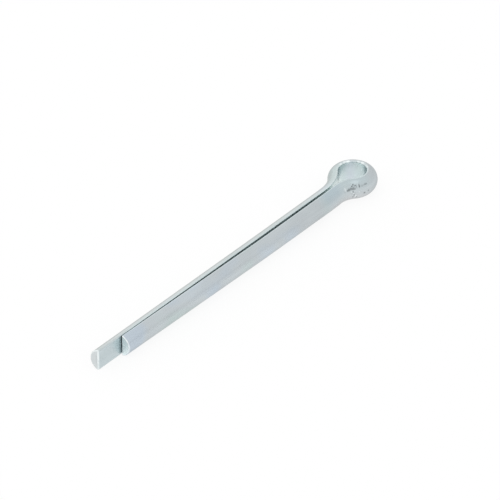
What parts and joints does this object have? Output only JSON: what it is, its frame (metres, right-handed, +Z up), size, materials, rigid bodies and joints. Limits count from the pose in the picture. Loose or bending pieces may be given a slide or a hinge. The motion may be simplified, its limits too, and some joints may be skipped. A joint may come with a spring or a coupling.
{
  "type": "cotter pin",
  "caption": "Split cotter pin of half-round zinc-plated steel wire, folded flat to flat, with a round eye and one leg longer than the other.",
  "frame": {"origin": "on the shank's axis where the parallel legs begin, just below the eye", "axes": "+X down the shank from the eye to the tips, +Y to the short leg, +Z up along the eye's axis; the pin lies on its side, with its eye set slightly over towards the long leg"},
  "size_m": [0.0801, 0.0094, 0.0044],
  "materials": {
    "zinc_plated_steel": "satin bright zinc plating"
  },
  "bodies": {
    "root": {"cotter_pin": "zinc_plated_steel"}
  },
  "joints": []
}
